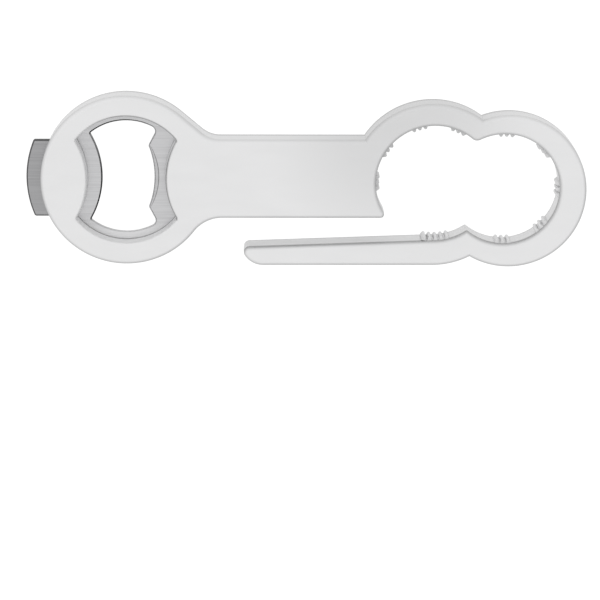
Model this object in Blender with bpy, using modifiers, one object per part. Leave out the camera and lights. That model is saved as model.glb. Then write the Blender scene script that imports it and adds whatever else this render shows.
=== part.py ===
"""A springy nutcracker with a bottle opener in its grip, and a lid lifter on its end.

Metres, +Z up. The tool lies on its back face: +X runs from the lifter tab to the bow,
+Y is the grip's side, -Y the squeeze lever's side, and the origin is on the floor
under the middle of the whole outline.

The body is one flexible moulding in the shape of an open C: head, grip, nut jaw, spring
bow and lever. Its outline is drawn once and then parted across the bow into stiff lengths
that turn a little on each other, which is how the moulding bends. A steel plate lies in
the head at mid-thickness.
"""
from math import acos, asin, atan2, ceil, cos, floor, pi, radians, sin, sqrt, tan

import bmesh
import bpy
from mathutils import Matrix, Vector

# ---- overall -------------------------------------------------------------------------
LENGTH = 0.190            # lifter tab to the far side of the bow
THICKNESS = 0.012         # of the moulding, back face to front face
CLEARANCE = 0.0003        # between pieces that face each other
EDGE_ROUND = 0.0012       # rounding along the moulding's rims
ARC_STEP = radians(5)     # one facet of a round stretch
TIP_STEP = radians(15)    # one facet of the small roundings at the lever's tip

# ---- head and its window -------------------------------------------------------------
WINDOW_RADIUS = 0.0214    # top and bottom of the bow-tie window
HEAD_RIM = 0.0076         # of the head round the window
WINDOW_LIFT = 0.0003      # window centre above the head's
WINDOW_WAIST = 0.0130     # head centre to the middle of either side of the window
WINDOW_SIDE_RADIUS = 0.0266

# ---- grip ----------------------------------------------------------------------------
GRIP_WIDTH = 0.0270
GRIP_LIFT = 0.00048       # grip's centre line above the head's
NECK_FILLET = 0.012       # head into the grip's underside
FLANK_TOUCH = radians(49.8)  # where the straight upper flank touches the head
FLANK_FILLET = 0.0097

# ---- nut jaw: the larger ring --------------------------------------------------------
JAW_RADIUS = 0.0279
JAW_BORE = 0.0198
JAW_DROP = 0.00158        # ring's centre below the head's
JAW_BORE_SHIFT = (0.00044, 0.00056)

# ---- spring bow: the smaller ring ----------------------------------------------------
BOW_RADIUS = 0.02625
BOW_BORE = 0.0189
BOW_DROP = 0.00373
BOW_BORE_SHIFT = (-0.00187, 0.00078)
LOBE_PITCH = 0.02592      # centre to centre of the two rings, along the tool

# ---- squeeze lever -------------------------------------------------------------------
LEVER_SLOPE = radians(2)  # how fast the lever thins towards its tip
LEVER_REACH = 0.0642      # jaw centre to the lever's tip
NOSE_LENGTH = 0.0023      # small rounding on the tip's inner side
HEEL_LENGTH = 0.0074      # long rounding on the tip's outer side
HEEL_RISE = 0.0046

# ---- how the bow is parted -----------------------------------------------------------
LINKS = 5
LINK_FIRST = radians(88)  # middle of the first stiff length, round the bow's bore
LINK_STEP = radians(-44.5)
PART_REACH = 0.003        # how far a parting runs on past either wall
REGION_MARGIN = 0.030     # spare room round the outline inside a parting region

# ---- gripping teeth ------------------------------------------------------------------
TOOTH_PITCH = 0.0020
TOOTH_LENGTH = 0.0019     # along the wall
TOOTH_DEPTH = 0.0064      # across the wall, along Z
TOOTH_HEIGHT = 0.0010
TOOTH_ROOT = 0.0004       # sunk into the wall
GROUP = 3
LEVER_GROUP = 5
JAW_GROUP_ANGLES = (180, 145, 105.5, 66)

# ---- opener plate --------------------------------------------------------------------
PLATE_THICKNESS = 0.0020
PLATE_BITE = 0.0031       # how far the plate's disc runs into the head past the window
TAB_LENGTH = 0.0049       # lifter tab past the head
TAB_WIDTH = 0.0265
OPENING_LEDGE = 0.0022    # plate left showing round the cap opening
OPENING_LIFT = 0.0006     # opening's centre above the head's
BACK_LEDGE = 0.0049       # plate left showing at the middle of the plain side
BACK_RADIUS = 0.0297
LIP_LEDGE = 0.0035        # plate left showing at the middle of the hooked lip
LIP_RADIUS = 0.029
HOOK_HALF = 0.0108        # middle of the lip to either hook's point
NOTCH_LEDGE = 0.0030      # plate left showing at the notch behind a hook
COIN_WIDTH = 0.0016       # middle of the coined part of the lip
COIN_RADIUS = 0.0254
COIN_HALF = 0.0117
COIN_DEPTH = 0.0004
PEG_RADIUS = 0.0020       # moulded pegs that lock the plate in the head
PEG_INSET = 0.0055        # from the middle of the window's side
PEG_HALF_PITCH = 0.0065
PEG_FACETS = 18
PEG_TURN = 0.25           # of a facet, so that no facet lies along the tool

# ---- worked out from the above -------------------------------------------------------
MID_Z = THICKNESS / 2
HEAD_RADIUS = WINDOW_RADIUS + HEAD_RIM
PLATE_RADIUS = WINDOW_RADIUS + PLATE_BITE
TAB_REACH = HEAD_RADIUS + TAB_LENGTH
OPENING_RADIUS = WINDOW_RADIUS - OPENING_LEDGE
LIP_REACH = WINDOW_WAIST - LIP_LEDGE
LOWEST = max(HEAD_RADIUS, JAW_DROP + JAW_RADIUS, BOW_DROP + BOW_RADIUS)  # below the head's centre
HEAD = Vector((TAB_REACH - LENGTH / 2, (LOWEST - HEAD_RADIUS) / 2))
OPENING = HEAD + Vector((0, OPENING_LIFT))
BOW = Vector((LENGTH / 2 - BOW_RADIUS, HEAD.y - BOW_DROP))
JAW = Vector((BOW.x - LOBE_PITCH, HEAD.y - JAW_DROP))
JAW_CENTRE = JAW + Vector(JAW_BORE_SHIFT)
BOW_CENTRE = BOW + Vector(BOW_BORE_SHIFT)
GRIP_TOP = HEAD.y + GRIP_LIFT + GRIP_WIDTH / 2
GRIP_BOTTOM = GRIP_TOP - GRIP_WIDTH
LEVER_BACK = JAW.y - JAW_RADIUS
LEVER_TIP = JAW.x - LEVER_REACH

SILVER = ("silver_moulding", (0.72, 0.72, 0.73), 0.38, 0.35)
STEEL = ("brushed_steel", (0.47, 0.47, 0.48), 0.30, 1.0)


# ---- plane geometry ------------------------------------------------------------------
def on_circle(centre, radius, angle):
    return Vector((centre[0] + radius * cos(angle), centre[1] + radius * sin(angle)))


def bearing(centre, point):
    return atan2(point[1] - centre[1], point[0] - centre[0])


def arc(centre, radius, start, end, step=ARC_STEP):
    """Points from start to end, either way round, with one at every quarter turn between."""
    low, high = min(start, end), max(start, end)
    quarters = [turn * pi / 2 for turn in range(ceil(low / (pi / 2)), floor(high / (pi / 2)) + 1)]
    stops = [low] + [angle for angle in quarters if low + step / 4 < angle < high - step / 4] + [high]
    angles = [low]
    for before, after in zip(stops, stops[1:]):
        count = ceil((after - before) / step - 0.01)
        angles += [before + (after - before) * (index + 1) / count for index in range(count)]
    if end < start:
        angles.reverse()
    return [on_circle(centre, radius, angle) for angle in angles]


def quarter(centre, half_width, half_height, start):
    """A quarter of an ellipse, counter-clockwise from start."""
    points = arc((0, 0), 1.0, start, start + pi / 2, TIP_STEP)
    return [Vector((centre[0] + half_width * p.x, centre[1] + half_height * p.y)) for p in points]


def meeting(centre_a, radius_a, centre_b, radius_b, side):
    """Where two circles cross: side 1 is left of the line from a to b, -1 is right."""
    line = centre_b - centre_a
    along = (line.length_squared + radius_a ** 2 - radius_b ** 2) / (2 * line.length)
    across = sqrt(radius_a ** 2 - along ** 2)
    forward = line.normalized()
    return centre_a + forward * along + Vector((-forward.y, forward.x)) * (side * across)


def slope_start():
    """The angle on the jaw's bore where the lever's inner wall leaves it."""
    return -pi / 2 + LEVER_SLOPE


def lever_inner(x):
    """Height of the lever's inner wall at x."""
    leave = on_circle(JAW_CENTRE, JAW_BORE, slope_start())
    return leave.y + tan(LEVER_SLOPE) * (x - leave.x)


def neck_path():
    """The fillet from the head into the grip's underside."""
    drop = GRIP_BOTTOM - NECK_FILLET - HEAD.y
    run = sqrt((HEAD_RADIUS + NECK_FILLET) ** 2 - drop ** 2)
    centre = HEAD + Vector((run, drop))
    return arc(centre, NECK_FILLET, bearing(centre, HEAD), pi / 2)


def flank_path():
    """From the grip's top edge up the straight flank; it ends where it touches the head."""
    run = (HEAD_RADIUS - (GRIP_TOP - HEAD.y) * sin(FLANK_TOUCH)) / cos(FLANK_TOUCH)
    bend = pi / 2 - FLANK_TOUCH
    centre = Vector((HEAD.x + run + FLANK_FILLET * tan(bend / 2), GRIP_TOP + FLANK_FILLET))
    touch = on_circle(HEAD, HEAD_RADIUS, FLANK_TOUCH)
    return arc(centre, FLANK_FILLET, 1.5 * pi, 1.5 * pi - bend) + [touch]


def tip_path():
    """Round the lever's tip, from its inner wall to its back."""
    nose_x = LEVER_TIP + NOSE_LENGTH
    heel_y = LEVER_BACK + HEEL_RISE
    nose = quarter((nose_x, heel_y), NOSE_LENGTH, lever_inner(nose_x) - heel_y, pi / 2)
    heel = quarter((LEVER_TIP + HEEL_LENGTH, heel_y), HEEL_LENGTH, HEEL_RISE, pi)
    return nose + heel[1:]


def cusps():
    """The four points where the rings meet: upper inner and outer, lower inner and outer."""
    inner = [meeting(JAW_CENTRE, JAW_BORE, BOW_CENTRE, BOW_BORE, side) for side in (1, -1)]
    outer = [meeting(JAW, JAW_RADIUS, BOW, BOW_RADIUS, side) for side in (1, -1)]
    return inner[0], outer[0], inner[1], outer[1]


def body_outline():
    """The whole moulding, counter-clockwise from where the upper flank meets the head."""
    upper_in, upper_out, lower_in, lower_out = cusps()
    flank = flank_path()
    neck = neck_path()
    beak = Vector((JAW_CENTRE.x - sqrt(JAW_BORE ** 2 - (GRIP_BOTTOM - JAW_CENTRE.y) ** 2), GRIP_BOTTOM))
    corner = Vector((JAW.x - sqrt(JAW_RADIUS ** 2 - (GRIP_TOP - JAW.y) ** 2), GRIP_TOP))
    beak_angle = bearing(JAW_CENTRE, beak) + 2 * pi
    path = arc(HEAD, HEAD_RADIUS, bearing(HEAD, flank[-1]), bearing(HEAD, neck[0]) + 2 * pi)
    path += neck[1:]
    path += arc(JAW_CENTRE, JAW_BORE, beak_angle, bearing(JAW_CENTRE, upper_in))
    path += arc(BOW_CENTRE, BOW_BORE, bearing(BOW_CENTRE, upper_in), bearing(BOW_CENTRE, lower_in))[1:]
    path += arc(JAW_CENTRE, JAW_BORE, bearing(JAW_CENTRE, lower_in), slope_start())[1:]
    path += tip_path()
    path += arc(JAW, JAW_RADIUS, -pi / 2, bearing(JAW, lower_out))
    path += arc(BOW, BOW_RADIUS, bearing(BOW, lower_out), bearing(BOW, upper_out))[1:]
    path += arc(JAW, JAW_RADIUS, bearing(JAW, upper_out), bearing(JAW, corner))[1:]
    path += flank[:-1]
    return path


def window_outline():
    """The bow-tie window: two arcs about its centre, and two sides that bulge inwards."""
    centre = HEAD + Vector((0, WINDOW_LIFT))
    offset = Vector((WINDOW_WAIST + WINDOW_SIDE_RADIUS, 0))
    left, right = centre - offset, centre + offset
    low_right = meeting(centre, WINDOW_RADIUS, right, WINDOW_SIDE_RADIUS, -1)
    high_right = meeting(centre, WINDOW_RADIUS, right, WINDOW_SIDE_RADIUS, 1)
    half = bearing(centre, high_right)
    spread = bearing(left, centre + Vector((-(high_right - centre).x, (high_right - centre).y)))
    path = arc(centre, WINDOW_RADIUS, half, pi - half)
    path += arc(left, WINDOW_SIDE_RADIUS, spread, -spread)[1:]
    path += arc(centre, WINDOW_RADIUS, pi + half, 2 * pi - half)[1:]
    path += arc(right, WINDOW_SIDE_RADIUS, bearing(right, low_right) + 2 * pi, bearing(right, high_right))[1:-1]
    return path


def plate_outline(grow):
    """Disc with the lifter tab on its -X side, grown all round by grow."""
    disc, reach, half = PLATE_RADIUS + grow, TAB_REACH + grow, TAB_WIDTH / 2 + grow
    root, end = asin(half / disc), asin(half / reach)
    return arc(HEAD, disc, root - pi, pi - root) + arc(HEAD, reach, pi - end, pi + end)


def opening_outline():
    """The cap opening: a plain side, round ends, and a hooked lip towards the grip."""
    back = OPENING - Vector((WINDOW_WAIST - BACK_LEDGE + BACK_RADIUS, 0))
    high_back = meeting(back, BACK_RADIUS, OPENING, OPENING_RADIUS, 1)
    back_half = bearing(back, high_back)
    end_angle = bearing(OPENING, high_back)
    notch = acos((WINDOW_WAIST - NOTCH_LEDGE) / OPENING_RADIUS)
    lip = OPENING + Vector((LIP_REACH - LIP_RADIUS, 0))
    hook = asin(HOOK_HALF / LIP_RADIUS)
    path = arc(OPENING, OPENING_RADIUS, notch, end_angle)
    path += arc(back, BACK_RADIUS, back_half, -back_half)[1:]
    path += arc(OPENING, OPENING_RADIUS, 2 * pi - end_angle, 2 * pi - notch)[1:]
    path += arc(lip, LIP_RADIUS, -hook, hook)
    return path


def coin_outline():
    """The crescent that is pressed thinner behind the lip, closed by a chord in the opening."""
    centre = OPENING + Vector((LIP_REACH + COIN_WIDTH - COIN_RADIUS, 0))
    half = asin(COIN_HALF / COIN_RADIUS)
    return arc(centre, COIN_RADIUS, -half, half)


def peg_outlines(radius):
    """The four pegs, two in the head on either side of the window."""
    reach = WINDOW_WAIST + PEG_INSET
    places = [HEAD + Vector((x, y)) for x in (-reach, reach) for y in (-PEG_HALF_PITCH, PEG_HALF_PITCH)]
    turns = [2 * pi * (index + PEG_TURN) / PEG_FACETS for index in range(PEG_FACETS)]
    return [[on_circle(place, radius, turn) for turn in turns] for place in places]


# ---- building in Blender -------------------------------------------------------------
def clear_scene():
    for obj in list(bpy.data.objects):
        bpy.data.objects.remove(obj)


def new_collection(name):
    collection = bpy.data.collections.new(name)
    bpy.context.scene.collection.children.link(collection)
    return collection


def make_material(name, colour, roughness, metallic):
    material = bpy.data.materials.new(name)
    material.use_nodes = True
    shader = material.node_tree.nodes["Principled BSDF"]
    shader.inputs["Base Color"].default_value = (*colour, 1.0)
    shader.inputs["Roughness"].default_value = roughness
    shader.inputs["Metallic"].default_value = metallic
    material.diffuse_color = (*colour, 1.0)
    return material


def evaluated_mesh(obj):
    bpy.context.view_layer.update()
    depsgraph = bpy.context.evaluated_depsgraph_get()
    return bpy.data.meshes.new_from_object(obj.evaluated_get(depsgraph), depsgraph=depsgraph)


def slab(name, outlines, bottom, top, collection):
    """A flat piece between two heights, from one outline and any holes in it."""
    curve = bpy.data.curves.new(name, "CURVE")
    curve.dimensions = "2D"
    curve.fill_mode = "BOTH"
    curve.extrude = (top - bottom) / 2
    curve.render_resolution_u = 0
    for outline in outlines:
        spline = curve.splines.new("POLY")
        spline.points.add(len(outline) - 1)
        for point, place in zip(spline.points, outline):
            point.co = (place[0], place[1], 0, 1)
        spline.use_cyclic_u = True
    drawing = bpy.data.objects.new(name + "_drawing", curve)
    drawing.location.z = (bottom + top) / 2
    collection.objects.link(drawing)
    mesh = evaluated_mesh(drawing)
    work = bmesh.new()
    work.from_mesh(mesh)
    bmesh.ops.remove_doubles(work, verts=work.verts, dist=1e-6)
    bmesh.ops.dissolve_limit(work, angle_limit=1e-3, verts=work.verts, edges=work.edges)
    bmesh.ops.recalc_face_normals(work, faces=work.faces)
    work.to_mesh(mesh)
    work.free()
    solid = bpy.data.objects.new(name, mesh)
    solid.matrix_world = drawing.matrix_world
    collection.objects.link(solid)
    bpy.data.objects.remove(drawing)
    return solid


def as_cutter(obj):
    obj.hide_render = True
    obj.display_type = "WIRE"
    return obj


def combine(obj, other, operation):
    modifier = obj.modifiers.new(operation.lower() + "_" + other.name, "BOOLEAN")
    modifier.operation = operation
    modifier.solver = "EXACT"
    modifier.object = other


def round_rims(obj):
    bevel = obj.modifiers.new("rounded_rims", "BEVEL")
    bevel.width = EDGE_ROUND
    bevel.segments = 2
    bevel.use_clamp_overlap = False
    bevel.limit_method = "ANGLE"
    bevel.angle_limit = radians(65)


def place_origin(obj, place):
    """Moves an object's origin without moving its shape."""
    shift = Matrix.Translation(obj.location - place)
    obj.data.transform(shift)
    obj.location = place


# ---- partings of the bow -------------------------------------------------------------
def partings():
    """Pairs of points, inner wall and outer wall, where the moulding is parted."""
    upper_in, upper_out, lower_in, lower_out = cusps()
    pairs = [(upper_in, upper_out)]
    for index in range(1, LINKS):
        angle = LINK_FIRST + LINK_STEP * (index - 0.5)
        inner = on_circle(BOW_CENTRE, BOW_BORE, angle)
        ray = (inner - BOW_CENTRE).normalized()
        offset = BOW_CENTRE - BOW
        along = -offset.dot(ray) + sqrt(offset.dot(ray) ** 2 - offset.length_squared + BOW_RADIUS ** 2)
        pairs.append((inner, BOW_CENTRE + ray * along))
    pairs.append((lower_in, lower_out))
    return pairs


def parting_side(pair, side):
    """The two ends of one face of a parting, run on past the walls; side -1 is upstream."""
    inner, outer = pair
    ray = (outer - inner).normalized()
    across = Vector((ray.y, -ray.x)) * (side * CLEARANCE / 2)
    return inner - ray * PART_REACH + across, outer + ray * 2 * PART_REACH + across


def region_outlines():
    """The plan of each stiff length: handle, links from the jaw round the bow, lever."""
    pairs = partings()
    left, right = -LENGTH / 2 - REGION_MARGIN, LENGTH / 2
    top, bottom = HEAD_RADIUS + REGION_MARGIN, -HEAD_RADIUS - REGION_MARGIN
    mid_gap = (GRIP_BOTTOM + lever_inner(LEVER_TIP)) / 2
    before_tip = LEVER_TIP - CLEARANCE - HEEL_RISE
    inner, outer = parting_side(pairs[0], -1)
    handle = [(left, bottom), (before_tip, bottom), (before_tip, mid_gap), (JAW_CENTRE.x, mid_gap),
              inner, outer, (outer.x, top), (left, top)]
    links = []
    for before, after in zip(pairs, pairs[1:]):
        inner_a, outer_a = parting_side(before, 1)
        inner_b, outer_b = parting_side(after, -1)
        links.append([inner_a, outer_a, outer_b, inner_b])
    inner, outer = parting_side(pairs[-1], 1)
    lever = [inner, (JAW_CENTRE.x, mid_gap), (before_tip, mid_gap), (before_tip, bottom),
             (outer.x, bottom), outer]
    return handle, links, lever


# ---- teeth ---------------------------------------------------------------------------
def add_teeth(obj, name, centre, radius, middle, count, cutters):
    """Joins a row of diamond studs to a bored wall, centred on an angle."""
    work = bmesh.new()
    tall = TOOTH_HEIGHT + TOOTH_ROOT
    for index in range(count):
        angle = middle + (index - (count - 1) / 2) * TOOTH_PITCH / radius
        base = on_circle(centre, radius + TOOTH_ROOT - tall / 2, angle)
        widen = 2 / sqrt(2)
        size = Matrix.Diagonal((TOOTH_LENGTH / widen, TOOTH_DEPTH / widen, tall, 1))
        point_in = Matrix.Rotation(-pi / 2, 4, "Y") @ Matrix.Rotation(pi / 2, 4, "Z")
        turn = Matrix.Rotation(angle, 4, "Z")
        place = Matrix.Translation((base.x, base.y, MID_Z)) @ turn @ point_in @ size
        bmesh.ops.create_cone(work, cap_ends=True, segments=4, radius1=1 / sqrt(2), radius2=0,
                              depth=1, matrix=place)
    mesh = bpy.data.meshes.new(name)
    work.to_mesh(mesh)
    work.free()
    teeth = bpy.data.objects.new(name, mesh)
    cutters.objects.link(teeth)
    combine(obj, as_cutter(teeth), "UNION")


# ---- pieces --------------------------------------------------------------------------
def make_moulding(cutters):
    """The whole flexible body with its window, rounded rims and the plate's slot."""
    body = slab("moulding", [body_outline()], 0, THICKNESS, cutters)
    window = slab("window_cutter", [window_outline()], -CLEARANCE, THICKNESS + CLEARANCE, cutters)
    combine(body, as_cutter(window), "DIFFERENCE")
    round_rims(body)
    low = MID_Z - PLATE_THICKNESS / 2 - CLEARANCE
    high = MID_Z + PLATE_THICKNESS / 2 + CLEARANCE
    slot = slab("plate_slot_cutter", [plate_outline(CLEARANCE)] + peg_outlines(PEG_RADIUS), low, high, cutters)
    combine(body, as_cutter(slot), "DIFFERENCE")
    return body


def cut_region(name, moulding, mesh, outline, material, parts, cutters):
    """One stiff length of the moulding: its own copy, kept only inside a plan outline."""
    piece = bpy.data.objects.new(name, mesh.copy())
    piece.matrix_world = moulding.matrix_world
    piece.data.materials.clear()
    piece.data.materials.append(material)
    parts.objects.link(piece)
    region = slab(name + "_region", [outline], -THICKNESS, 2 * THICKNESS, cutters)
    combine(piece, as_cutter(region), "INTERSECT")
    return piece


def make_body_pieces(material, parts, cutters):
    moulding = as_cutter(make_moulding(cutters))
    mesh = evaluated_mesh(moulding)
    handle_plan, link_plans, lever_plan = region_outlines()
    handle = cut_region("handle_frame", moulding, mesh, handle_plan, material, parts, cutters)
    for index, degrees in enumerate(JAW_GROUP_ANGLES):
        add_teeth(handle, f"jaw_teeth_{index + 1}", JAW_CENTRE, JAW_BORE, radians(degrees), GROUP, cutters)
    pairs = partings()
    for index, plan in enumerate(link_plans):
        link = cut_region(f"bow_link_{index + 1}", moulding, mesh, plan, material, parts, cutters)
        middle = LINK_FIRST + LINK_STEP * index
        add_teeth(link, f"bow_teeth_{index + 1}", BOW_CENTRE, BOW_BORE, middle, GROUP, cutters)
        axis = (pairs[index][0] + pairs[index][1]) / 2
        place_origin(link, Vector((axis.x, axis.y, MID_Z)))
    lever = cut_region("lever_arm", moulding, mesh, lever_plan, material, parts, cutters)
    add_teeth(lever, "lever_teeth", JAW_CENTRE, JAW_BORE, slope_start(), LEVER_GROUP, cutters)
    axis = (pairs[-1][0] + pairs[-1][1]) / 2
    place_origin(lever, Vector((axis.x, axis.y, MID_Z)))


def make_plate(material, parts, cutters):
    """The steel opener plate with its cap opening, coined lip, peg holes and lifter tab."""
    low, high = MID_Z - PLATE_THICKNESS / 2, MID_Z + PLATE_THICKNESS / 2
    outlines = [plate_outline(0), opening_outline()] + peg_outlines(PEG_RADIUS + CLEARANCE)
    plate = slab("opener_plate", outlines, low, high, parts)
    plate.data.materials.append(material)
    for name, bottom, top in (("coin_front_cutter", high - COIN_DEPTH, high + COIN_DEPTH),
                              ("coin_back_cutter", low - COIN_DEPTH, low + COIN_DEPTH)):
        combine(plate, as_cutter(slab(name, [coin_outline()], bottom, top, cutters)), "DIFFERENCE")


def main():
    clear_scene()
    parts = new_collection("nutcracker")
    cutters = new_collection("cutters")
    make_body_pieces(make_material(*SILVER), parts, cutters)
    make_plate(make_material(*STEEL), parts, cutters)


main()
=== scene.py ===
from math import asin, atan2, ceil, cos, pi, radians, sin, sqrt, tan

import bpy
from mathutils import Matrix, Vector
from mathutils.geometry import delaunay_2d_cdt


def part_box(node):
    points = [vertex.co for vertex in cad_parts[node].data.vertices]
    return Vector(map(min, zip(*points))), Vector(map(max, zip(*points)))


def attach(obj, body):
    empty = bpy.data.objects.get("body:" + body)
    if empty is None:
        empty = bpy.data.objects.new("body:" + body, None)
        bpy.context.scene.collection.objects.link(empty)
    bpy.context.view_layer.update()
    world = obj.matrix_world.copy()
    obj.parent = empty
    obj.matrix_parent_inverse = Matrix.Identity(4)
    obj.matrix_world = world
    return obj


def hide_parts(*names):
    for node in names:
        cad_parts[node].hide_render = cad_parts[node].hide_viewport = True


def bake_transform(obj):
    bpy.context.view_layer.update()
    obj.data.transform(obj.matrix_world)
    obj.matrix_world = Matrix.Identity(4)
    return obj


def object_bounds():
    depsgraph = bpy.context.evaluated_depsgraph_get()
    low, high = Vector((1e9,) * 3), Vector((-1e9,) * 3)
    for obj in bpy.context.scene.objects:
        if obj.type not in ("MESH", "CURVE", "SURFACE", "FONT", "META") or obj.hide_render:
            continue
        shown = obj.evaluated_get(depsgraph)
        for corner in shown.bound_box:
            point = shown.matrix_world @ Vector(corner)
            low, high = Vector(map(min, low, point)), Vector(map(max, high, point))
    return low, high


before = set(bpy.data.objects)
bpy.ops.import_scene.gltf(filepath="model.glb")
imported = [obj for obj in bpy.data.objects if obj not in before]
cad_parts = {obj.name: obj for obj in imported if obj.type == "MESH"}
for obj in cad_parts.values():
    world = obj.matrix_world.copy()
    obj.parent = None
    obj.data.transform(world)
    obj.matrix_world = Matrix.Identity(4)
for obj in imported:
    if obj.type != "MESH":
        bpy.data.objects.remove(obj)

cad_low, cad_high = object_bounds()

# ---- sizes of the moulding, in metres ----
MID = (cad_high.z + cad_low.z) / 2
RIM = 0.0012                 # rounding of the walls' upper and lower edges
RIM_ROWS = 6
DRAFT = radians(1.2)         # taper of the walls away from the parting at mid height
CREASE = 0.00010             # fine crease between a wall and its rims: half its width
CREASE_DEPTH = 0.00008
STEP = radians(2.5)          # one facet of a round stretch
SMALL_STEPS = 4              # a small rounding has facets this many times as wide
SPARE_STEP = 0.01            # of a facet, which a stretch may be too long by

HEAD_RADIUS = 0.0290
WINDOW_RADIUS = 0.0214
WINDOW_LIFT = 0.0003
WINDOW_WAIST = 0.0130        # from its centre to the middle of a side
WINDOW_SIDE_RADIUS = 0.0266
WINDOW_CORNER = 0.0006
WINDOW_DRAFT = radians(5.5)  # the window's walls flare towards both faces
WINDOW_RIM = 0.0007

GRIP_WIDTH = 0.0270
GRIP_LIFT = 0.00048
NECK_FILLET = 0.012
FLANK_TOUCH = radians(49.8)  # where the grip's straight upper flank meets the head
FLANK_FILLET = 0.0097
BEAK_ROUND = 0.0013

JAW_RADIUS = 0.0279
JAW_BORE = 0.0198            # radius, as for the bow
JAW_DROP = 0.00158           # of its centre below the head's
JAW_BORE_SHIFT = (0.00044, 0.00056)
BOW_RADIUS = 0.02625
BOW_BORE = 0.0189
BOW_BORE_SHIFT = (-0.00187, 0.00078)
LOBE_PITCH = 0.02592         # from the jaw's centre to the bow's, along the tool
UPPER_CUSP_ROUND = 0.0026
LOWER_CUSP_ROUND = 0.0008

LEVER_SLOPE = radians(2)
NOSE_ROUND = 0.0020
HEEL_ROUND = 0.0075

LINK_FIRST = radians(88)     # middle of the bow's first stiff length
LINK_STEP = radians(-44.5)
LINKS = 5
HANDLE_SEAM = (radians(57), radians(67))    # inner wall, outer wall
LEVER_SEAM = (radians(-68), radians(-73))
BEND_REACH = radians(13)     # either side of a hinge, round the bow's bore
SEAM_ROOM = 0.0002           # from a seam to where the bending starts
DRAWN, FILL_EPSILON = 1000, 1e-6    # faces are filled in millimetres
POINT_DIGITS = 7             # points that agree to so many decimals are one

# ---- painted shade along the moulding's creases, feet and roundings ----
TOP_LINE = (0.85, 0.0016)    # a wall beside its crease, and how far that fades out
OUTER_FOOT_LINE = (0.50, 0.0028)    # the same on an outer wall's lower half
INNER_FOOT_LINE = (0.15, 0.0016)
# painted contact shadow along the foot of the window's walls
WINDOW_FOOT = 1.0
FOOT_FADE = 0.0008           # how far the line along a wall's foot fades out
EDGE_LINE, EDGE_HOLD = 0.48, 1.2    # a rounding where it starts, and how long it stays so
FADE_ANGLE = radians(82)     # where a rounding is plain again

# ---- opener plate ----
PLATE_BITE = 0.0031          # how far the plate's disc reaches past the window
PLATE_BEVEL = 0.00050        # along the punched edges
BEVEL_TILTS = (radians(28), radians(58))
SLOT_GAP = 0.00014           # dark line between plate and moulding
SLOT_DEPTH = 0.0016
TAB_LENGTH = 0.0049
TAB_WIDTH = 0.0265
TAB_ROUND = 0.0009
OPENING_LEDGE = 0.0022       # steel seen inside the window, above and below the opening
OPENING_LIFT = 0.0006
BACK_LEDGE = 0.0049          # the same on the tab's side
BACK_RADIUS = 0.0297
LIP_LEDGE = 0.0035           # the same on the lip's side
LIP_RADIUS = 0.029
HOOK_HALF = 0.0106
HOOK_ROUND = 0.0010
NOTCH_LEDGE = 0.0026
NOTCH_ROUND = 0.0019
OPENING_CORNER = 0.0005
COIN_WIDTH = 0.0016          # the crescent pressed down along the lip
COIN_DEPTH = 0.00035
COIN_STEP = 0.00014          # a small step round the crescent, and its run
COIN_RUN = 0.00030
SHEARED_DARK, OPENING_DARK = 0.75, 0.97    # painted shade on the sheared edges
# painted shade in the crescent's step and on its slope
COIN_DARK, CRESCENT_DARK = 0.6, 0.1

# ---- teeth and ribs ----
# Hip and Taper are what the top loses of the depth and the length, Dark the painted shade at the
# root.
TOOTH = {"Pitch": 0.0020, "Length": 0.0019, "Depth": 0.0094, "Height": 0.00115, "Root": 0.0004,
         "Hip": 0.30, "Taper": 0.62, "Dark": 0.26}
SOFTENING, SOFTENING_ROWS = 0.00024, 3
GROUP = 3
LEVER_GROUP = 5
JAW_GROUP_ANGLES = [radians(180), radians(145), radians(105.5), radians(66)]
RIB = {"Pitch": 0.0020, "Length": 0.0010, "Depth": 0.0060, "Height": 0.00030, "Root": 0.0004,
       "Hip": 0.08, "Taper": 0.35, "Dark": 0.6}
RIBS = 16
RIBS_MIDDLE = 0.0115         # along the lever's back
RIBS_CIRCLE = 10.0           # so wide that the row is straight

# ---- places, from the CAD model's own boxes ----
plate_low, plate_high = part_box("opener_plate")
lever_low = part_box("lever_arm")[0]
PLATE_LOW, PLATE_HIGH = plate_low.z, plate_high.z
TAB_REACH = HEAD_RADIUS + TAB_LENGTH
HEAD = Vector((plate_low.x + TAB_REACH, (plate_low.y + plate_high.y) / 2))
BOW = Vector((cad_high.x - BOW_RADIUS, cad_low.y + BOW_RADIUS))
JAW = Vector((BOW.x - LOBE_PITCH, HEAD.y - JAW_DROP))
JAW_CENTRE = JAW + Vector(JAW_BORE_SHIFT)
BOW_CENTRE = BOW + Vector(BOW_BORE_SHIFT)
GRIP_TOP = HEAD.y + GRIP_LIFT + GRIP_WIDTH / 2
GRIP_BOTTOM = GRIP_TOP - GRIP_WIDTH
LEVER_BACK = JAW.y - JAW_RADIUS
LEVER_TIP = lever_low.x
WINDOW = HEAD + Vector((0, WINDOW_LIFT))
OPENING = HEAD + Vector((0, OPENING_LIFT))


# ---- outlines: stretches walked with the material on their left ----
def on_circle(centre, radius, angle):
    return Vector((centre[0] + radius * cos(angle), centre[1] + radius * sin(angle)))


def leftward(way):
    return Vector((-way.y, way.x))


def bearing(centre, point):
    return atan2(point[1] - centre[1], point[0] - centre[0])


class Arc:
    """Turn 1 runs anticlockwise round a centre in the material, -1 clockwise round one outside.

    It ends at the angle upto, or else where it meets the next stretch. The fold of a rounded
    corner is the two stretches and the point that it becomes once an inset uses up its radius.
    """

    def __init__(self, centre, radius, turn, upto=None, fold=None):
        self.centre, self.radius, self.turn, self.upto = Vector(centre), radius, turn, upto
        self.fold = fold

    def reach(self, inset):
        return self.radius - self.turn * inset

    def heading(self, point):
        return leftward((point - self.centre).normalized()) * self.turn

    def outward(self, angle):
        return on_circle((0, 0), self.turn, angle)


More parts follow.
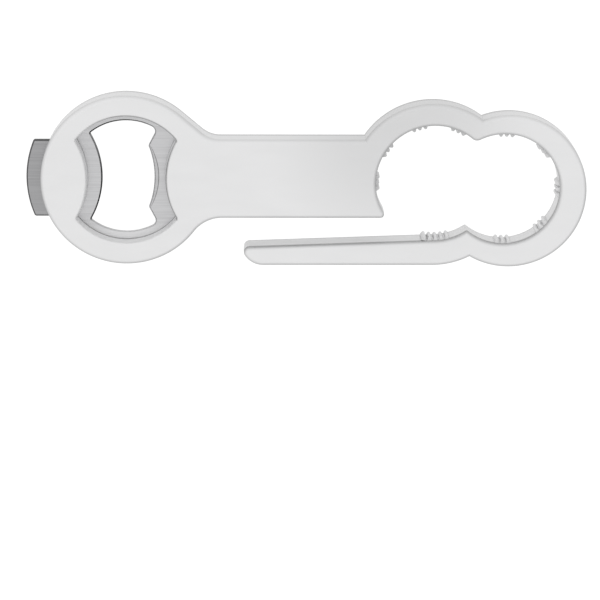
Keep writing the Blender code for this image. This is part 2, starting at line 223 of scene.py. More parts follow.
class Line:
    def __init__(self, start, end):
        self.start, self.way = Vector(start), (Vector(end) - Vector(start)).normalized()
        self.upto = self.fold = None

    def through(self, inset):
        return self.start + leftward(self.way) * inset

    def heading(self, point):
        return self.way

    def outward(self):
        return -leftward(self.way)


class Corner:
    """A corner near a point, rounded by a radius or left sharp by 0."""

    def __init__(self, near, radius=0.0):
        self.near, self.radius = Vector(near), radius


def crossing(a, b, inset, near):
    """Where two inset stretches cross, nearest to a point."""
    if isinstance(a, Arc) and isinstance(b, Line):
        a, b = b, a
    if isinstance(b, Line):
        start, other = a.through(inset), b.through(inset)
        run = (other - start).cross(b.way) / a.way.cross(b.way)
        return start + a.way * run
    if isinstance(a, Line):
        start = a.through(inset)
        foot = start + a.way * (b.centre - start).dot(a.way)
        half = sqrt(b.reach(inset) ** 2 - (foot - b.centre).length_squared)
        found = [foot - a.way * half, foot + a.way * half]
    else:
        line = b.centre - a.centre
        reaches = a.reach(inset) ** 2 - b.reach(inset) ** 2
        along = (line.length_squared + reaches) / (2 * line.length)
        half = sqrt(a.reach(inset) ** 2 - along ** 2)
        way = line.normalized()
        side = leftward(way) * half
        found = [a.centre + way * along + side, a.centre + way * along - side]
    return min(found, key=lambda point: (point - near).length)


def touch(a, b, inset):
    """Where two stretches that run smoothly into each other meet."""
    if isinstance(a, Line):
        return b.centre + a.outward() * (b.turn * b.reach(inset))
    if isinstance(b, Line):
        return a.centre + b.outward() * (a.turn * a.reach(inset))
    way = (b.centre - a.centre).normalized()
    side = -1 if a.turn == b.turn and a.radius < b.radius else 1
    return a.centre + way * (a.reach(inset) * side)


class Outline:
    """A closed run of stretches. Every inset of it has the same number of stations."""

    def __init__(self, items):
        self.stretches, self.sharp = [], {}
        count = len(items)
        for place, item in enumerate(items):
            if not isinstance(item, Corner):
                self.stretches.append(item)
                continue
            before, after = items[place - 1], items[(place + 1) % count]
            if item.radius == 0:
                self.sharp[len(self.stretches) - 1] = item.near
                continue
            salient = before.heading(item.near).cross(after.heading(item.near)) > 0
            turn = 1 if salient else -1
            centre = crossing(before, after, turn * item.radius, item.near)
            self.stretches.append(Arc(centre, item.radius, turn, fold=(before, after, item.near)))
        self.counts = [1] * len(self.stretches)
        self.angles = {}
        for index, stretch in enumerate(self.stretches):
            if isinstance(stretch, Arc):
                self.angles[index] = self.sweep(index, 0)
                step = STEP * (SMALL_STEPS if stretch.radius < 2 * RIM else 1)
                self.counts[index] = max(1, ceil(self.angles[index][1] / step - SPARE_STEP))

    def joint(self, index, inset):
        """The point between one stretch and the next."""
        a, b = self.stretches[index], self.stretches[(index + 1) % len(self.stretches)]
        if a.upto is not None:
            return on_circle(a.centre, a.reach(inset), a.upto)
        if index in self.sharp:
            return crossing(a, b, inset, self.sharp[index])
        for rounding in (a, b):
            if rounding.fold and rounding.reach(inset) <= 0:
                return crossing(rounding.fold[0], rounding.fold[1], inset, rounding.fold[2])
        return touch(a, b, inset)

    def ends(self, index, inset):
        return self.joint((index - 1) % len(self.stretches), inset), self.joint(index, inset)

    def sweep(self, index, inset):
        """The angle at which an arc starts, and how far it runs."""
        arc = self.stretches[index]
        first, last = (bearing(arc.centre, end) for end in self.ends(index, inset))
        return first, ((last - first) * arc.turn) % (2 * pi)

    def stations(self, index, inset):
        """Points along one inset stretch, each with the wall's outward direction."""
        stretch, count = self.stretches[index], self.counts[index]
        start, end = self.ends(index, inset)
        if isinstance(stretch, Line):
            return [(start.lerp(end, step / count), stretch.outward()) for step in range(count + 1)]
        folded = stretch.fold and stretch.reach(inset) <= 0
        first, sweep = self.angles[index] if folded else self.sweep(index, inset)
        turns = [first + stretch.turn * sweep * step / count for step in range(count + 1)]
        return [(start if folded else on_circle(stretch.centre, stretch.reach(inset), turn),
                 stretch.outward(turn)) for turn in turns]


# ---- wall profiles: levels up a wall, and how the surface tilts between them ----
class Profile:
    """Each level is an inset, a height and the painted shade there."""

    def __init__(self, levels, tilts, shading=None):
        self.levels, self.tilts, self.shading = levels, tilts, shading

    def dark(self, row, way):
        _, z, dark = self.levels[row]
        return dark * self.shading.share(z, way) if self.shading else dark


class Shading:
    """The share of its painted shade that an edge above a height keeps, by the way its wall looks.

    It is greatest along facing, middle across that, and never under least.
    """

    def __init__(self, above, facing, middle, least):
        self.above, self.facing, self.middle, self.least = above, Vector(facing), middle, least

    def share(self, z, way):
        if z <= self.above:
            return 1.0
        return min(1.0, max(self.least, self.middle + way.dot(self.facing)))


def half_wall(foot, top, draft, rounding, foot_line, wall_line, line, fade_angle):
    """From foot up to a face: a tapered wall, a fine crease, then a rounding.

    The last four give the painted shade at its foot, beside its crease and where the rounding
    starts, and at which angle the rounding is plain again.
    """
    beside, fade = wall_line
    turn = top - rounding * (1 - sin(draft))
    crease = turn - 2 * CREASE

    def inset(z):
        return (z - foot) * tan(draft)

    levels = [(0.0, foot, foot_line), (inset(foot + FOOT_FADE), foot + FOOT_FADE, 0.0),
              (inset(crease - fade), crease - fade, 0.0), (inset(crease), crease, beside),
              (inset(crease) + CREASE_DEPTH, crease + CREASE, 1.0), (inset(turn), turn, line)]
    slant = atan2(CREASE_DEPTH, CREASE)
    tilts = [(draft, draft)] * 3 + [(slant, slant), (-slant, -slant)]
    angles = [draft + (pi / 2 - draft) * row / RIM_ROWS for row in range(RIM_ROWS + 1)]
    for angle in angles[1:]:
        levels.append((inset(turn) + rounding * (cos(draft) - cos(angle)),
                       turn + rounding * (sin(angle) - sin(draft)),
                       line * min(1.0, EDGE_HOLD * max(0.0, 1 - angle / fade_angle))))
    return levels, tilts + list(zip(angles, angles[1:]))


def mirrored(levels, tilts):
    """The same half of a wall below the middle of the thickness."""
    return ([(inset, 2 * MID - z, dark) for inset, z, dark in reversed(levels)],
            [(-after, -before) for before, after in reversed(tilts)])


def wall_profile(foot_line, shading=None):
    low, high = (half_wall(MID, cad_high.z, DRAFT, RIM, 0.0, line, EDGE_LINE, FADE_ANGLE)
                 for line in (foot_line, TOP_LINE))
    low_levels, low_tilts = mirrored(*low)
    return Profile(low_levels + high[0][1:], low_tilts + high[1], shading)


def window_profile():
    """Two flared rims, with the plate's slot between them."""
    levels, tilts = half_wall(PLATE_HIGH + SLOT_GAP, cad_high.z, WINDOW_DRAFT, WINDOW_RIM,
                              WINDOW_FOOT, TOP_LINE, 1.0, pi / 2)
    low_levels, low_tilts = mirrored(levels, tilts)
    # the slot's inside is fully in painted shade
    slot = [(SLOT_DEPTH, PLATE_LOW - SLOT_GAP, 1.0), (SLOT_DEPTH, PLATE_HIGH + SLOT_GAP, 1.0)]
    up, across, down = pi / 2, 0.0, -pi / 2
    return Profile(low_levels + slot + levels,
                   low_tilts + [(up, up), (across, across), (down, down)] + tilts, WINDOW_SHADING)


def edge_profile(dark, shading=None):
    """The plate's sheared edge, broken by a narrow bevel at both faces."""
    levels = [(0.0, MID, dark), (0.0, PLATE_HIGH - PLATE_BEVEL, dark),
              (PLATE_BEVEL, PLATE_HIGH, dark)]
    tilts = [(0.0, 0.0), BEVEL_TILTS]
    low_levels, low_tilts = mirrored(levels, tilts)
    return Profile(low_levels + levels[1:], low_tilts + tilts, shading)


# how much painted shade an edge keeps by the way it faces, so some sides are shaded more
WINDOW_SHADING = Shading((PLATE_HIGH + cad_high.z) / 2, facing=(-1.2, -1.2), middle=0.0, least=0.06)
OPENING_SHADING = Shading(cad_low.z, facing=(1.0, -0.9), middle=0.0, least=0.0)
OUTER_SHADING = Shading(MID, facing=(0.0, -0.8), middle=1.0, least=0.2)


# ---- shells: points, faces, and the normal and painted shade at each face's corners ----
def placed(name, data):
    made = bpy.data.objects.new(name, data)
    bpy.context.scene.collection.objects.link(made)
    return made


def encloses(ring, point):
    """Whether a flat loop goes round a point."""
    inside = False
    for a, b in zip(ring, ring[1:] + ring[:1]):
        if (a.y > point.y) != (b.y > point.y):
            if point.x < a.x + (b.x - a.x) * (point.y - a.y) / (b.y - a.y):
                inside = not inside
    return inside


class Shell:
    """A piece's surface as it grows."""

    def __init__(self):
        self.points, self.index, self.faces, self.normals, self.dark = [], {}, [], [], []

    def point(self, place, height):
        key = tuple(round(value, POINT_DIGITS) for value in (place[0], place[1], height))
        if key not in self.index:
            self.index[key] = len(self.points)
            self.points.append(Vector((place[0], place[1], height)))
        return self.index[key]

    def face(self, corners, normals, dark=None):
        dark = dark or [0.0] * len(corners)
        kept = [item for item, after in zip(zip(corners, normals, dark), corners[1:] + corners[:1])
                if item[0] != after]
        if len(kept) > 2:
            self.faces.append([corner for corner, _, _ in kept])
            self.normals += [normal for _, normal, _ in kept]
            self.dark += [value for _, _, value in kept]

    def sweep(self, outline, picked, profile, press=None):
        """A wall along the picked stretches; gives its columns of points."""
        rings = {index: [outline.stations(index, level[0]) for level in profile.levels]
                 for index in picked}
        columns = []
        for index in picked:
            strip = []
            for station in range(outline.counts[index] + 1):
                sunk = press(rings[index][-1][station][0]) / (PLATE_HIGH - MID) if press else 0.0
                strip.append([self.point(ring[station][0], z - sunk * (z - MID))
                              for ring, (_, z, _) in zip(rings[index], profile.levels)])
            for station in range(outline.counts[index]):
                for row, (low_tilt, high_tilt) in enumerate(profile.tilts):
                    corners = [strip[station][row], strip[station + 1][row],
                               strip[station + 1][row + 1], strip[station][row + 1]]
                    lower, upper = rings[index][row], rings[index][row + 1]
                    ways = [lower[station][1], lower[station + 1][1],
                            upper[station + 1][1], upper[station][1]]
                    tilts = [low_tilt, low_tilt, high_tilt, high_tilt]
                    self.face(corners, [Vector((way.x * cos(tilt), way.y * cos(tilt), sin(tilt)))
                                        for way, tilt in zip(ways, tilts)],
                              [profile.dark(level, way) for level, way in
                               zip((row, row, row + 1, row + 1), ways)])
            columns += strip if not columns else strip[1:]
        return columns

    def cap(self, loops, normal_at, dark=0.0):
        """Fills between loops; normal_at gives the outward normal at a point."""
        corners, edges, rings = [], [], []
        for loop in loops:
            ring = [corner for corner, after in zip(loop, loop[1:] + loop[:1]) if corner != after]
            first = len(corners)
            edges += [(first + place, first + (place + 1) % len(ring))
                      for place in range(len(ring))]
            rings.append([self.points[corner].xy * DRAWN for corner in ring])
            corners += ring
        side = normal_at(self.points[corners[0]]).z
        flats = [flat for ring in rings for flat in ring]
        spots, _, triangles, origins, *_ = delaunay_2d_cdt(flats, edges, [], 0, FILL_EPSILON)
        sources = [corners[origin[0]] for origin in origins]
        for triangle in triangles:
            middle = sum((spots[place] for place in triangle), Vector((0, 0))) / 3
            if sum(encloses(ring, middle) for ring in rings) % 2:
                found = [sources[place] for place in triangle]
                a, b, c = (self.points[corner] for corner in found)
                if (b - a).xy.cross((c - a).xy) * side < 0:
                    found.reverse()
                self.face(found, [normal_at(self.points[corner]) for corner in found], [dark] * 3)

    def seam(self, inner, outer, into):
        """Closes the cut end of the moulding between its inner and outer walls."""
        corners = inner + outer[::-1]
        a, b, c = (self.points[corner] for corner in (inner[0], inner[-1], outer[-1]))
        normal = (b - a).cross(c - b).normalized()
        if normal.dot(into) > 0:
            corners.reverse()
            normal = -normal
        self.face(corners, [normal] * len(corners))

    def build(self, name, material):
        mesh = bpy.data.meshes.new(name)
        mesh.from_pydata(self.points, [], self.faces)
        mesh.shade_smooth()
        # the painted shade at each face corner, which the materials read
        mesh.attributes.new("dark", "FLOAT", "CORNER").data.foreach_set("value", self.dark)
        mesh.normals_split_custom_set(self.normals)
        mesh.materials.append(material)
        return placed(name, mesh)


def face_normal(side):
    return lambda point: Vector((0, 0, side))


# ---- the moulding's outline ----
def lever_inner(x):
    """The height of the lever's inner side, which leaves the jaw's bore smoothly."""
    leave = on_circle(JAW_CENTRE, JAW_BORE, LEVER_SLOPE - pi / 2)
    return leave.y + tan(LEVER_SLOPE) * (x - leave.x)


def link_angles():
    return [LINK_FIRST + LINK_STEP * index for index in range(LINKS)]


def moulding_outline():
    """The open C, anticlockwise from the head, and where the seams cut it."""
    jaw, jaw_bore = Arc(JAW, JAW_RADIUS, 1), Arc(JAW_CENTRE, JAW_BORE, -1)
    bow, bow_bore = Arc(BOW, BOW_RADIUS, 1), Arc(BOW_CENTRE, BOW_BORE, -1)
    upper, lower = Vector((BOW.x, GRIP_TOP)), Vector((BOW.x, LEVER_BACK))
    cusp = {(a, b): crossing(a, b, 0, near)
            for a, b, near in ((jaw, bow, upper), (jaw_bore, bow_bore, upper),
                               (bow, jaw, lower), (bow_bore, jaw_bore, lower))}
    bottom = Line((HEAD.x, GRIP_BOTTOM), (JAW.x, GRIP_BOTTOM))
    top = Line((JAW.x, GRIP_TOP), (HEAD.x, GRIP_TOP))
    neck_drop = GRIP_BOTTOM - NECK_FILLET - HEAD.y
    neck = HEAD + Vector((sqrt((HEAD_RADIUS + NECK_FILLET) ** 2 - neck_drop ** 2), neck_drop))
    flank_touch = on_circle(HEAD, HEAD_RADIUS, FLANK_TOUCH)
    flank_way = on_circle((0, 0), 1, FLANK_TOUCH + pi / 2)
    run = (HEAD_RADIUS - (GRIP_TOP - HEAD.y) * sin(FLANK_TOUCH)) / cos(FLANK_TOUCH)
    flank_fillet = Vector((HEAD.x + run + FLANK_FILLET * tan((pi / 2 - FLANK_TOUCH) / 2),
                           GRIP_TOP + FLANK_FILLET))
    beak = crossing(bottom, jaw_bore, 0, Vector((HEAD.x, GRIP_BOTTOM)))
    corner = crossing(jaw, top, 0, Vector((HEAD.x, GRIP_TOP)))
    lever_line = Line((JAW.x, lever_inner(JAW.x)), (LEVER_TIP, lever_inner(LEVER_TIP)))
    nose = Vector((LEVER_TIP + NOSE_ROUND, 0))
    nose.y = lever_inner(nose.x) - NOSE_ROUND / cos(LEVER_SLOPE)
    heel = Vector((0, LEVER_BACK + HEEL_ROUND))
    heel.x = nose.x + sqrt((HEEL_ROUND - NOSE_ROUND) ** 2 - (heel.y - nose.y) ** 2)
    back = Line((LEVER_TIP, LEVER_BACK), (JAW.x, LEVER_BACK))
    items = [Arc(HEAD, HEAD_RADIUS, 1), Arc(neck, NECK_FILLET, -1), bottom,
             Corner(beak, BEAK_ROUND), Arc(JAW_CENTRE, JAW_BORE, -1, HANDLE_SEAM[0]), "seam",
             jaw_bore, Corner(cusp[jaw_bore, bow_bore], UPPER_CUSP_ROUND)]
    for angle in link_angles():
        items += [Arc(BOW_CENTRE, BOW_BORE, -1, angle), "seam"]
    items += [bow_bore, Corner(cusp[bow_bore, jaw_bore], LOWER_CUSP_ROUND),
              Arc(JAW_CENTRE, JAW_BORE, -1, LEVER_SEAM[0]), "seam", Arc(JAW_CENTRE, JAW_BORE, -1),
              lever_line, Arc(nose, NOSE_ROUND, 1), Arc(heel, HEEL_ROUND, 1), back,
              Arc(JAW, JAW_RADIUS, 1, LEVER_SEAM[1]), "seam", jaw, Corner(cusp[bow, jaw])]
    for angle in reversed(link_angles()):
        items += [Arc(BOW, BOW_RADIUS, 1, angle), "seam"]
    items += [bow, Corner(cusp[jaw, bow]), Arc(JAW, JAW_RADIUS, 1, HANDLE_SEAM[1]), "seam",
              Arc(JAW, JAW_RADIUS, 1), Corner(corner), top, Arc(flank_fillet, FLANK_FILLET, -1),
              Line(flank_touch - flank_way * FLANK_FILLET, flank_touch)]
    seams, kept = [], []
    for item in items:
        if item == "seam":
            seams.append(sum(not isinstance(other, Corner) or other.radius > 0 for other in kept))
        else:
            kept.append(item)
    return Outline(kept), seams


def window_outline():
    """The bow-tie window, clockwise."""
    offset = Vector((WINDOW_WAIST + WINDOW_SIDE_RADIUS, 0))
    right = Arc(WINDOW + offset, WINDOW_SIDE_RADIUS, 1)
    left = Arc(WINDOW - offset, WINDOW_SIDE_RADIUS, 1)
    low, high = Arc(WINDOW, WINDOW_RADIUS, -1), Arc(WINDOW, WINDOW_RADIUS, -1)
    items = []
    for stretch, x, y in ((right, 1, -1), (low, -1, -1), (left, -1, 1), (high, 1, 1)):
        about = WINDOW + Vector((x * WINDOW_WAIST, y * WINDOW_RADIUS))
        corner = crossing(right if x > 0 else left, low, 0, about)
        items += [stretch, Corner(corner, WINDOW_CORNER)]
    return Outline(items)


# ---- pieces of the moulding ----
def close_faces(shell, outer, hole=None):
    """The front and back faces of a piece, from its walls' columns."""
    for level, side in ((-1, 1), (0, -1)):
        loops = [[column[level] for column in outer]]
        if hole:
            loops.append([column[level] for column in hole])
        shell.cap(loops, face_normal(side))


def stretch_run(outline, start, end):
    count = len(outline.stretches)
    return [(start + step) % count for step in range((end - start) % count)]


def make_handle(outline, seams, material):
    shell = Shell()
    wall = shell.sweep(outline, stretch_run(outline, seams[-1], seams[0]),
                       wall_profile(OUTER_FOOT_LINE, OUTER_SHADING))
    window = window_outline()
    rim = shell.sweep(window, range(len(window.stretches)), window_profile())
    close_faces(shell, wall, rim)
    shell.seam(wall[-1], wall[0], Vector((-1, 0, 0)))
    handle = shell.build("handle_moulding", material)
    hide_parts("handle_frame")
    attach(handle, "handle")


def make_lever(outline, seams, material):
    shell = Shell()
    wall = shell.sweep(outline, stretch_run(outline, seams[LINKS + 1], seams[LINKS + 2]),
                       wall_profile(INNER_FOOT_LINE))
    close_faces(shell, wall)
    shell.seam(wall[0], wall[-1], Vector((-1, 0, 0)))
    lever = shell.build("lever_moulding", material)
    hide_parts("lever_arm")
    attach(lever, "lever")


def bend_span(hinge):
    """Where the moulding starts and ends to turn over a hinge."""
    if hinge == 0:
        start = on_circle(JAW_CENTRE, JAW_BORE, HANDLE_SEAM[0]) + Vector((SEAM_ROOM, 0))
        end = on_circle(BOW_CENTRE, BOW_BORE, LINK_FIRST + GROUP * TOOTH["Pitch"] / 2 / BOW_BORE)
        return start, Vector((end.x, start.y))
    if hinge == LINKS:
        start = on_circle(BOW_CENTRE, BOW_BORE, LINK_FIRST + LINK_STEP * (LINKS - 1) - BEND_REACH)
        end = on_circle(JAW, JAW_RADIUS, LEVER_SEAM[1]) + Vector((SEAM_ROOM, 0))
        return start, Vector((end.x, start.y))
    middle = LINK_FIRST + LINK_STEP * (hinge - 0.5)
    return (on_circle(BOW_CENTRE, BOW_BORE, middle + BEND_REACH),
            on_circle(BOW_CENTRE, BOW_BORE, middle - BEND_REACH))


def make_bends(outline, seams, material):
    """One piece over each hinge, from the middle of one stiff length to the next."""
    last = len(seams) - 1
    for hinge in range(LINKS + 1):
        shell = Shell()
        inner = shell.sweep(outline, stretch_run(outline, seams[hinge], seams[hinge + 1]),
                            wall_profile(INNER_FOOT_LINE))
        outer = shell.sweep(outline,
                            stretch_run(outline, seams[last - hinge - 1], seams[last - hinge]),
                            wall_profile(OUTER_FOOT_LINE, OUTER_SHADING))
        close_faces(shell, inner + outer)
        across = shell.points[inner[-1][0]] - shell.points[inner[0][0]]
        shell.seam(inner[0], outer[-1], across)
        shell.seam(inner[-1], outer[0], -across)
        bend = shell.build(f"bow_moulding_{hinge + 1}", material)
        start, end = bend_span(hinge)
        if hinge < LINKS:
            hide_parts(f"bow_link_{hinge + 1}")
        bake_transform(bend)


# ---- opener plate ----
def plate_outline():
    """The disc in the head and the tab that sticks out of it, anticlockwise."""
    disc, end = Arc(HEAD, WINDOW_RADIUS + PLATE_BITE, 1), Arc(HEAD, TAB_REACH, 1)
    half = TAB_WIDTH / 2
    upper = Line((HEAD.x, HEAD.y + half), (plate_low.x, HEAD.y + half))
    lower = Line((plate_low.x, HEAD.y - half), (HEAD.x, HEAD.y - half))
    near = [crossing(arc, line, 0, Vector((plate_low.x, line.start.y)))
            for arc, line in ((disc, upper), (end, upper), (end, lower), (disc, lower))]
    return Outline([disc, Corner(near[0]), upper, Corner(near[1], TAB_ROUND), end,
                    Corner(near[2], TAB_ROUND), lower, Corner(near[3])])


def opening_outline():
    """The cap opening, clockwise from its hooked lip."""
    radius = WINDOW_RADIUS - OPENING_LEDGE
    lip = Arc(OPENING + Vector((WINDOW_WAIST - LIP_LEDGE - LIP_RADIUS, 0)), LIP_RADIUS, -1)
    back = Arc(OPENING - Vector((WINDOW_WAIST - BACK_LEDGE + BACK_RADIUS, 0)), BACK_RADIUS, 1)
    low, high = Arc(OPENING, radius, -1), Arc(OPENING, radius, -1)
    hook_angle = asin(HOOK_HALF / LIP_RADIUS)
    hooks = [on_circle(lip.centre, LIP_RADIUS, side * hook_angle) for side in (1, -1)]
    notch_x = WINDOW_WAIST - NOTCH_LEDGE
    notches = [OPENING + Vector((notch_x, side * sqrt(radius ** 2 - notch_x ** 2)))
               for side in (1, -1)]
    ends = [crossing(back, low, 0, OPENING + Vector((-WINDOW_WAIST, side * radius)))
            for side in (1, -1)]
    return Outline([lip, Corner(hooks[1], HOOK_ROUND), Line(hooks[1], notches[1]),
                    Corner(notches[1], NOTCH_ROUND), low, Corner(ends[1], OPENING_CORNER), back,
                    Corner(ends[0], OPENING_CORNER), high, Corner(notches[0], NOTCH_ROUND),
                    Line(notches[0], hooks[0]), Corner(hooks[0], HOOK_ROUND)])


def make_plate(material):
    """The plate, with a crescent pressed down along its lip on both faces."""
    shell = Shell()
    outline, opening = plate_outline(), opening_outline()
    outer = shell.sweep(outline, range(len(outline.stretches)), edge_profile(SHEARED_DARK))
    lip, lower_hook, upper_hook = 0, 1, len(opening.stretches) - 1
    root = opening.stations(lower_hook, PLATE_BEVEL)[-1][0]
    sag = OPENING.x + WINDOW_WAIST - LIP_LEDGE + COIN_WIDTH - root.x
    half = OPENING.y - root.y
    coin_radius = (half ** 2 + sag ** 2) / (2 * sag)
    coin = Vector((root.x + sag - coin_radius, OPENING.y))
    slope = COIN_DEPTH / COIN_WIDTH

    def pressed(place):
        return slope * max(0.0, coin_radius - (Vector((place[0], place[1])) - coin).length)

    profile = edge_profile(OPENING_DARK, OPENING_SHADING)
    lipped = shell.sweep(opening, [upper_hook, lip, lower_hook], profile, pressed)
    plain = shell.sweep(opening, range(lower_hook + 1, upper_hook), profile)
    spread = asin(half / coin_radius)
    count = ceil(2 * spread / STEP)
    turns = [-spread + 2 * spread * step / count for step in range(1, count)]
    fade = [sqrt(1 - (coin_radius * sin(turn) / half) ** 2) for turn in turns]
    step_tilt = atan2(COIN_STEP, COIN_RUN)
    for level, side, face in ((-1, 1, PLATE_HIGH), (0, -1, PLATE_LOW)):
        top = [shell.point(on_circle(coin, coin_radius, turn), face) for turn in turns]
        sunk = [shell.point(on_circle(coin, coin_radius - COIN_RUN * full, turn),
                            face - side * COIN_STEP * full) for turn, full in zip(turns, fade)]
        ends = [lipped[-1][level], lipped[0][level]]
        shell.cap([[column[level] for column in outer],
                   [column[level] for column in plain] + top[::-1]], face_normal(side))

        def slope_normal(point, side=side):
            ray = (point.xy - coin).normalized() * slope
            return Vector((-ray.x, -ray.y, side)).normalized()

        shell.cap([[column[level] for column in lipped] + sunk], slope_normal, CRESCENT_DARK)
        rim_top, rim_low = [ends[0]] + top + [ends[1]], [ends[0]] + sunk + [ends[1]]
        for place in range(len(rim_top) - 1):
            ring = [rim_low[place], rim_low[place + 1], rim_top[place + 1], rim_top[place]]
            ray = (coin - shell.points[rim_top[place]].xy).normalized() * sin(step_tilt)
            if side > 0:
                ring.reverse()
            shell.face(ring, [Vector((ray.x, ray.y, side * cos(step_tilt)))] * 4, [COIN_DARK] * 4)
    plate = shell.build("steel_opener", material)
    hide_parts("opener_plate")
    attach(plate, "handle")


# ---- node trees ----
class Signal:
    """A socket of a node tree; arithmetic with it adds Math nodes."""

    def __init__(self, nodes, socket):
        self.nodes, self.socket = nodes, socket

    def maths(self, operation, first, second=0.0):
        return self.nodes.node("ShaderNodeMath", {"operation": operation}, {0: first, 1: second})

    def __add__(self, other):
        return self.maths("ADD", self, other)

    def __mul__(self, other):
        return self.maths("MULTIPLY", self, other)

    def __sub__(self, other):
        return self.maths("SUBTRACT", self, other)

    def __rsub__(self, other):
        return self.maths("SUBTRACT", other, self)

    def __truediv__(self, other):
        return self.maths("DIVIDE", self, other)

    __radd__, __rmul__ = __add__, __mul__


class Nodes:
    """A node tree, and the one way that its nodes are made."""

    def __init__(self, tree):
        self.tree = tree
        tree.nodes.clear()

    def node(self, kind, settings=None, sockets=None, output=0):
        made = self.tree.nodes.new(kind)
        for key, value in (settings or {}).items():
            if key == "stops":
                while len(made.color_ramp.elements) < len(value):
                    made.color_ramp.elements.new(1.0)
                for element, (place, level) in zip(made.color_ramp.elements, value):
                    element.position, element.color = place, grey(level)
            elif key == "kept":
                made.capture_items.new("VECTOR", value)
            else:
                setattr(made, key, value)
        for key, value in (sockets or {}).items():
            if isinstance(value, Signal):
                self.tree.links.new(value.socket, made.inputs[key])
            else:
                made.inputs[key].default_value = value
        return Signal(self, made.outputs[output]) if len(made.outputs) else None

    def mixed(self, factor, low, high, blend="MIX"):
        """A colour between two, by a factor."""
        return self.node("ShaderNodeMix", {"data_type": "RGBA", "blend_type": blend},
                         {0: factor, 6: low, 7: high}, 2)

    def ramp(self, value, low, high, start=0.0, end=1.0, kind="LINEAR"):
        """A value that runs from start to end while another runs from low to high."""
        return self.node("ShaderNodeMapRange", {"interpolation_type": kind},
                         {0: value, 1: low, 2: high, 3: start, 4: end})

    def vector(self, x=0.0, y=0.0, z=0.0):
        return self.node("ShaderNodeCombineXYZ", None, {"X": x, "Y": y, "Z": z})

    def part(self, vector, axis):
        return self.node("ShaderNodeSeparateXYZ", None, {0: vector}, axis)

    def scaled(self, vector, by):
        return self.node("ShaderNodeVectorMath", {"operation": "SCALE"}, {0: vector, "Scale": by})


# ---- teeth and ribs: one tree lays rows of tapered bars round a centre ----
def bars_tree(material):
    """Each point of the mesh marks the middle of a row, on a wall that looks at the centre."""
    tree = bpy.data.node_groups.new("rows of bars", "GeometryNodeTree")
    nodes = Nodes(tree)
    tree.interface.new_socket("Geometry", in_out="INPUT", socket_type="NodeSocketGeometry")
    kinds = {"Centre": "Vector", "Radius": "Float", "Count": "Int", **dict.fromkeys(TOOTH, "Float")}
    for label, kind in kinds.items():
        tree.interface.new_socket(label, in_out="INPUT", socket_type="NodeSocket" + kind)
    tree.interface.new_socket("Geometry", in_out="OUTPUT", socket_type="NodeSocketGeometry")

    def given(label):
        return nodes.node("NodeGroupInput", output=label)

    corner = nodes.node("GeometryNodeInputPosition")
    rise = nodes.part(corner, "Z") + 0.5
    shape = nodes.vector(nodes.part(corner, "X") * given("Depth") * (1 - rise * given("Hip")),
                         nodes.part(corner, "Y") * given("Length") * (1 - rise * given("Taper")),
                         rise * (given("Height") + given("Root")))
    # painted shade at each bar's root, fading up the bar
    shaded = nodes.node("GeometryNodeStoreNamedAttribute",
                        {"data_type": "FLOAT", "domain": "POINT"},
                        {0: nodes.node("GeometryNodeMeshCube"), "Name": "dark",
                         3: (1 - rise) * given("Dark")})
    bar = nodes.node("GeometryNodeSetPosition", None, {"Geometry": shaded, "Position": shape})
    place = nodes.node("GeometryNodeInputIndex") - (given("Count") - 1.0) / 2.0
    angle = place * (given("Pitch") / given("Radius"))
    way = nodes.vector(angle.maths("COSINE", angle), angle.maths("SINE", angle))
    row = nodes.node("GeometryNodeMeshLine", None,
                     {"Count": given("Count"), "Offset": (0.0, 0.0, 0.0)})
    reach = given("Radius") + given("Root")
    laid = nodes.node("GeometryNodeSetPosition", None,
                      {"Geometry": row, "Position": nodes.scaled(way, reach)})
    facing = nodes.node("FunctionNodeAxesToRotation",
                        {"primary_axis": "Z", "secondary_axis": "X"},
                        {"Primary Axis": nodes.scaled(way, -1.0),
                         "Secondary Axis": (0.0, 0.0, 1.0)})
    bars = nodes.node("GeometryNodeInstanceOnPoints", None,
                      {"Points": laid, "Instance": bar, "Rotation": facing})
    offset = nodes.node("ShaderNodeVectorMath", {"operation": "SUBTRACT"},
                        {0: corner, 1: given("Centre")})
    turn = angle.maths("ARCTAN2", nodes.part(offset, "Y"), nodes.part(offset, "X"))
    keep = nodes.node("GeometryNodeCaptureAttribute", {"kept": "turned"},
                      {"Geometry": given("Geometry"), "turned": nodes.vector(z=turn)})
    turned = Signal(nodes, keep.socket.node.outputs["turned"])
    gathered = nodes.node("GeometryNodeSetPosition", None,
                          {"Geometry": keep, "Position": given("Centre")})
    spin = nodes.node("FunctionNodeEulerToRotation", None, {0: turned})
    rows = nodes.node("GeometryNodeInstanceOnPoints", None,
                      {"Points": gathered, "Instance": bars, "Rotation": spin})
    real = nodes.node("GeometryNodeRealizeInstances", None, {"Geometry": rows})
    dressed = nodes.node("GeometryNodeSetMaterial", None, {"Geometry": real, "Material": material})
    nodes.node("NodeGroupOutput", None, {0: dressed})
    return tree


def baked(name, piece):
    """The evaluated piece as a plain mesh in a new object."""
    bpy.context.view_layer.update()
    depsgraph = bpy.context.evaluated_depsgraph_get()
    mesh = bpy.data.meshes.new_from_object(piece.evaluated_get(depsgraph), depsgraph=depsgraph)
    mesh.name = name
    bpy.data.objects.remove(piece)
    return placed(name, mesh)


def make_bars(tree, name, body, centre, radius, angles, count, sizes):
    marks = bpy.data.meshes.new(name + "_marks")
    places = [on_circle(centre, radius, angle) for angle in angles]
    marks.from_pydata([(place.x, place.y, MID) for place in places], [], [])
    holder = placed(name + "_marks", marks)
    rows = holder.modifiers.new("rows", "NODES")
    rows.node_group = tree
    given = {"Centre": (centre[0], centre[1], MID), "Radius": radius, "Count": count, **sizes}
    for item in tree.interface.items_tree:
        if item.name in given:
            rows[item.identifier] = given[item.name]
    soften = holder.modifiers.new("softened", "BEVEL")
    soften.width, soften.segments = SOFTENING, SOFTENING_ROWS
    bars = baked(name, holder)
    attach(bars, body)


